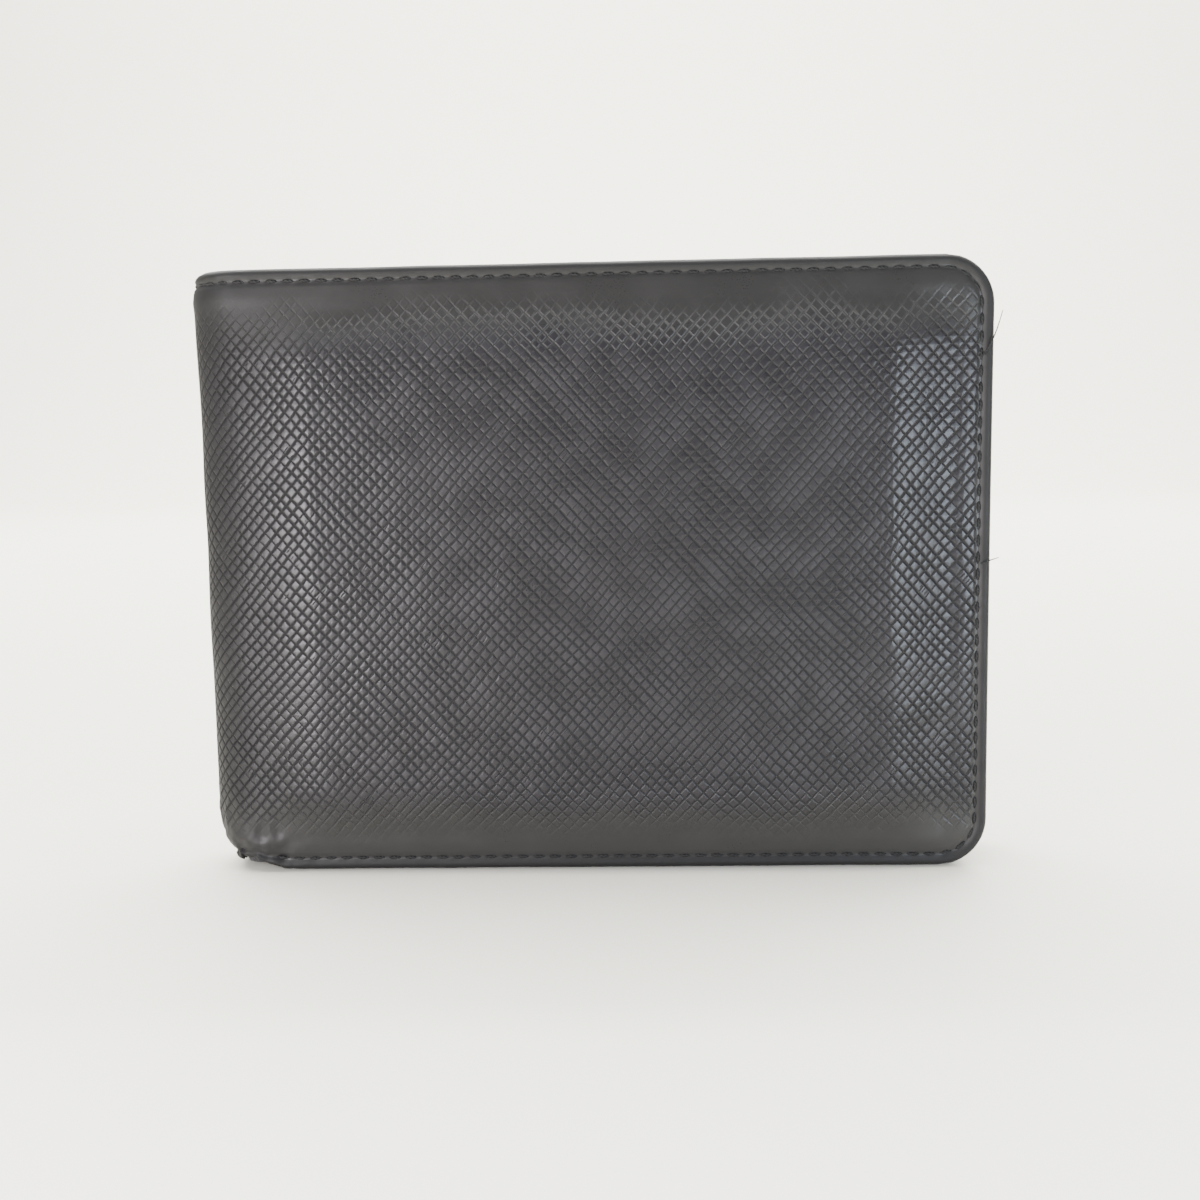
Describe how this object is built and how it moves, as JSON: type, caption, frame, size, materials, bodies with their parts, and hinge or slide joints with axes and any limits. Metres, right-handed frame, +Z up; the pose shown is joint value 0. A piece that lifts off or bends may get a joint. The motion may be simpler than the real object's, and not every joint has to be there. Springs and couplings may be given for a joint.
{
  "type": "trifold wallet",
  "caption": "Black leather folding wallet with outer leaves joined at a fold, a centre wing with card pockets and a clear identity window, note compartments and stepped card pockets.",
  "frame": {"origin": "middle of the closed wallet's base, under the middle plane between the two outer leaves", "axes": "+X from the fold to the free edge (width), +Y out of the back leaf, +Z up the wallet's height; the front leaf faces -Y"},
  "size_m": [0.115, 0.019, 0.088],
  "materials": {
    "outer_leather": "satin",
    "inner_leather": "satin",
    "lining_fabric": "matte",
    "divider_fabric": "matte",
    "stiffener_board": "matte",
    "seam_thread": "matte",
    "window_film": "gloss"
  },
  "bodies": {
    "back_leaf": {"back_cover": "outer_leather", "back_cover_lining": "lining_fabric", "back_stiffener": "stiffener_board", "back_card_pocket_1": "inner_leather", "back_card_pocket_2": "inner_leather", "back_card_pocket_3": "inner_leather", "back_inner_panel": "inner_leather", "back_note_divider": "divider_fabric", "back_seam_thread": "seam_thread", "fold_cover": "outer_leather", "fold_lining": "lining_fabric"},
    "front_leaf": {"front_cover": "outer_leather", "front_cover_lining": "lining_fabric", "front_stiffener": "stiffener_board", "front_card_pocket_1": "inner_leather", "front_card_pocket_2": "inner_leather", "front_card_pocket_3": "inner_leather", "front_inner_panel": "inner_leather", "front_note_divider": "divider_fabric", "front_seam_thread": "seam_thread"},
    "wing": {"wing_hinge_tab": "inner_leather", "wing_core": "inner_leather", "wing_card_pocket_1": "inner_leather", "wing_card_pocket_2": "inner_leather", "wing_window_frame": "inner_leather", "wing_window_film": "window_film"}
  },
  "joints": [
    {"name": "front_fold", "type": "hinge", "parent": "back_leaf", "child": "front_leaf", "pos_m": [-0.0575, 0, 0], "axis": [0, 0, -1], "range_deg": [0, 178], "deforming": ["fold_cover", "fold_lining"]},
    {"name": "wing_fold", "type": "hinge", "parent": "back_leaf", "child": "wing", "pos_m": [-0.0549, 0, 0], "axis": [0, 0, -1], "range_deg": [0, 89]}
  ],
  "couplings": [
    {"joint": "wing_fold", "follows": "front_fold", "ratio": 0.5}
  ]
}
